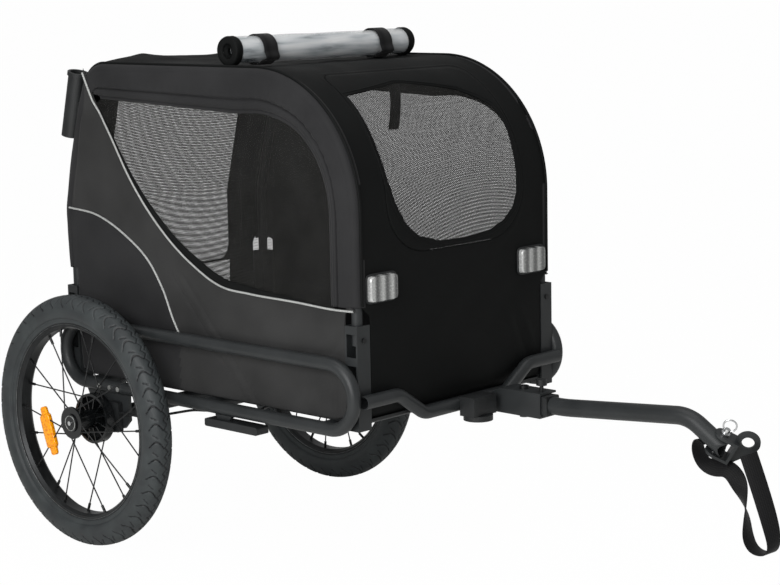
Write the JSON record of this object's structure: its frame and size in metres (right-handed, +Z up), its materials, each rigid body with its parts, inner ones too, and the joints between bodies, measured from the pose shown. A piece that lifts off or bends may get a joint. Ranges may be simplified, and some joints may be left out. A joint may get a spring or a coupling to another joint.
{
  "type": "dog bike trailer",
  "caption": "Two-wheeled bicycle trailer for a dog: framed fabric cabin with mesh windows and doors, folding cover hoops, tow arm with eye hitch, parking brake, handle and front wheel sockets.",
  "frame": {"origin": "on the ground, half way between the rear of the tyres and the tip of the hitch eye, in the middle between the wheels", "axes": "+X forwards to the hitch, +Y to the left of the trailer, +Z up"},
  "size_m": [1.2555, 0.6036, 0.8023],
  "materials": {
    "frame_coat": "satin powder coat",
    "zinc_steel": "zinc plated",
    "chrome_steel": "polished",
    "moulded_black": "fine moulded grain",
    "gloss_black": "gloss moulding",
    "rim_black": "black anodised",
    "spoke_black": "black coated wire",
    "tyre_black": "matt rubber",
    "amber_lens": "moulded lens",
    "clear_lens": "moulded lens",
    "cable_sheath": "satin sheath",
    "charcoal_fabric": "woven, coated",
    "black_fabric": "woven, coated",
    "dark_mesh": "open mesh",
    "clear_vinyl": "clear film, rolled",
    "black_webbing": "woven webbing"
  },
  "bodies": {
    "chassis": {"right_side_loop": "frame_coat", "left_side_loop": "frame_coat", "floor_cross_tubes": "frame_coat", "bumper_tube": "frame_coat", "front_posts": "frame_coat", "rear_posts": "frame_coat", "hoop_pivot_pins": "zinc_steel", "axle_cross_tube": "frame_coat", "axle_brackets": "frame_coat", "rail_bolts": "zinc_steel", "axle_pins": "chrome_steel", "brake_blocks": "moulded_black", "pedal_lug": "frame_coat", "brake_cables": "cable_sheath", "floor_board": "moulded_black", "tub_walls": "charcoal_fabric", "roof_panel": "black_fabric", "front_panel": "black_fabric", "rear_panel": "black_fabric", "rain_cover_roll": "clear_vinyl", "rain_cover_bindings": "black_webbing", "rain_cover_straps": "black_webbing", "front_wheel_socket": "moulded_black", "arm_bracket": "frame_coat", "arm_pivot_bolt": "zinc_steel"},
    "right_wheel": {"right_tyre": "tyre_black", "right_rim": "rim_black", "right_hub": "gloss_black", "right_bearings": "zinc_steel", "right_spokes": "spoke_black", "right_spoke_reflector": "amber_lens"},
    "left_wheel": {"left_tyre": "tyre_black", "left_rim": "rim_black", "left_hub": "gloss_black", "left_bearings": "zinc_steel", "left_spokes": "spoke_black", "left_spoke_reflector": "amber_lens"},
    "right_cover_side": {"right_hoop": "frame_coat", "right_side_panel": "charcoal_fabric", "right_side_window": "dark_mesh", "right_handle_socket": "moulded_black", "right_front_reflector": "clear_lens"},
    "left_cover_side": {"left_hoop": "frame_coat", "left_side_panel": "charcoal_fabric", "left_side_window": "dark_mesh", "left_handle_socket": "moulded_black", "left_front_reflector": "clear_lens"},
    "tow_arm": {"tow_arm": "frame_coat", "arm_sleeve": "moulded_black", "safety_strap": "black_webbing"},
    "arm_lock_button": {"arm_lock_button": "moulded_black"},
    "hitch_coupler": {"hitch_coupler": "frame_coat"},
    "hitch_pin": {"hitch_pin": "chrome_steel"},
    "brake_pedal": {"brake_pedal": "moulded_black"},
    "right_brake_pin": {"right_brake_pin": "zinc_steel"},
    "left_brake_pin": {"left_brake_pin": "zinc_steel"},
    "right_axle_button": {"right_axle_button": "chrome_steel"},
    "left_axle_button": {"left_axle_button": "chrome_steel"},
    "front_door": {"front_door": "dark_mesh"},
    "rear_door": {"rear_door": "dark_mesh"}
  },
  "joints": [
    {"name": "right_wheel_spin", "type": "hinge", "parent": "chassis", "child": "right_wheel", "pos_m": [-0.41068, -0.273, 0.2], "axis": [0, 1, 0], "continuous": true},
    {"name": "left_wheel_spin", "type": "hinge", "parent": "chassis", "child": "left_wheel", "pos_m": [-0.41068, 0.273, 0.2], "axis": [0, 1, 0], "continuous": true},
    {"name": "right_axle_button_press", "type": "slide", "parent": "chassis", "child": "right_axle_button", "axis": [0, 1, 0], "range_m": [0, 0.004], "stiffness_N_per_m": 500},
    {"name": "left_axle_button_press", "type": "slide", "parent": "chassis", "child": "left_axle_button", "axis": [0, -1, 0], "range_m": [0, 0.004], "stiffness_N_per_m": 500},
    {"name": "brake_pedal_rock", "type": "hinge", "parent": "chassis", "child": "brake_pedal", "pos_m": [-0.12868, -0.228, 0.2285], "axis": [0, 1, 0], "range_deg": [0, 8]},
    {"name": "right_brake_pin_slide", "type": "slide", "parent": "chassis", "child": "right_brake_pin", "axis": [0, -1, 0], "range_m": [0, 0.01]},
    {"name": "left_brake_pin_slide", "type": "slide", "parent": "chassis", "child": "left_brake_pin", "axis": [0, 1, 0], "range_m": [0, 0.01]},
    {"name": "right_hoop_fold", "type": "hinge", "parent": "chassis", "child": "right_cover_side", "pos_m": [0.12932, -0.205, 0.38], "axis": [-1, 0, 0], "range_deg": [0, 90], "deforming": ["front_panel", "roof_panel", "rear_panel", "front_door", "rear_door", "rain_cover_roll", "rain_cover_bindings", "rain_cover_straps"]},
    {"name": "left_hoop_fold", "type": "hinge", "parent": "chassis", "child": "left_cover_side", "pos_m": [0.12932, 0.205, 0.388], "axis": [1, 0, 0], "range_deg": [0, 81], "deforming": ["front_panel", "roof_panel", "rear_panel", "front_door", "rear_door", "rain_cover_roll", "rain_cover_bindings", "rain_cover_straps"]},
    {"name": "tow_arm_swing", "type": "hinge", "parent": "chassis", "child": "tow_arm", "pos_m": [0.21732, 0.056, 0.259], "axis": [0, 0, 1], "range_deg": [0, 90]},
    {"name": "arm_lock_press", "type": "slide", "parent": "chassis", "child": "arm_lock_button", "axis": [0, 0, -1], "range_m": [0, 0.009], "stiffness_N_per_m": 400},
    {"name": "hitch_swivel", "type": "hinge", "parent": "tow_arm", "child": "hitch_coupler", "pos_m": [0.5598, 0.056, 0.24487], "axis": [0.5446, 0, 0.8387], "range_deg": [-124, 56]},
    {"name": "hitch_pin_pull", "type": "slide", "parent": "tow_arm", "child": "hitch_pin", "axis": [0.5446, 0, 0.8387], "range_m": [0, 0.06]},
    {"name": "front_door_lift", "type": "hinge", "parent": "chassis", "child": "front_door", "pos_m": [0.02296, 0, 0.738], "axis": [0, -1, 0], "range_deg": [0, 110]},
    {"name": "rear_door_lift", "type": "hinge", "parent": "chassis", "child": "rear_door", "pos_m": [-0.45912, 0, 0.7], "axis": [0, 1, 0], "range_deg": [0, 110]}
  ],
  "couplings": [
    {"joint": "right_brake_pin_slide", "follows": "brake_pedal_rock", "m_per_rad": 0.0716},
    {"joint": "left_brake_pin_slide", "follows": "brake_pedal_rock", "m_per_rad": 0.0716}
  ]
}
